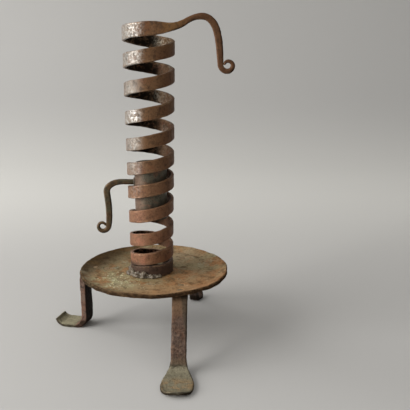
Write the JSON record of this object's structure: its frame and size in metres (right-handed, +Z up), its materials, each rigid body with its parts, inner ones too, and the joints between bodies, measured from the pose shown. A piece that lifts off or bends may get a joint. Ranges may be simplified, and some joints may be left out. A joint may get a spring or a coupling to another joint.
{
  "type": "cellar rat candle holder",
  "caption": "Forged iron spiral candle holder on a round drip pan with strap legs and a hook arm; turning a scrolled lever screws the candle cup up the spiral.",
  "frame": {"origin": "on the floor under the spiral's axis, in the plane of the feet's soles", "axes": "+Z up along the spiral's axis, -Y towards the front leg, +X towards the side over which the hook arm drops"},
  "size_m": [0.145, 0.1815, 0.2498],
  "materials": {
    "spiral_strip": "forged, rusty",
    "drip_pan": "sheet, rusty and stained",
    "front_leg": "forged, rusty",
    "left_leg": "forged, rusty",
    "rear_leg": "forged, rusty",
    "leg_rivets": "forged, rusty",
    "foot_solder": "dull grey",
    "cup_wall": "dull, tarnished",
    "cup_floor": "dull, tarnished",
    "lever": "forged, dark",
    "lever_solder": "bright spot"
  },
  "bodies": {
    "stand": {"spiral_strip": "spiral_strip", "drip_pan": "drip_pan", "front_leg": "front_leg", "left_leg": "left_leg", "rear_leg": "rear_leg", "leg_rivets": "leg_rivets", "foot_solder": "foot_solder"},
    "carrier": {"cup_floor": "cup_floor"},
    "cup": {"cup_wall": "cup_wall", "lever": "lever", "lever_solder": "lever_solder"}
  },
  "joints": [
    {"name": "cup_lift", "type": "slide", "parent": "stand", "child": "carrier", "axis": [0, 0, 1], "range_m": [-0.0267, 0.1028]},
    {"name": "cup_turn", "type": "hinge", "parent": "carrier", "child": "cup", "pos_m": [0, 0, 0.118], "axis": [0, 0, 1], "range_deg": [-486, 1872]}
  ],
  "couplings": [
    {"joint": "cup_lift", "follows": "cup_turn", "m_per_rad": 0.0031433}
  ]
}
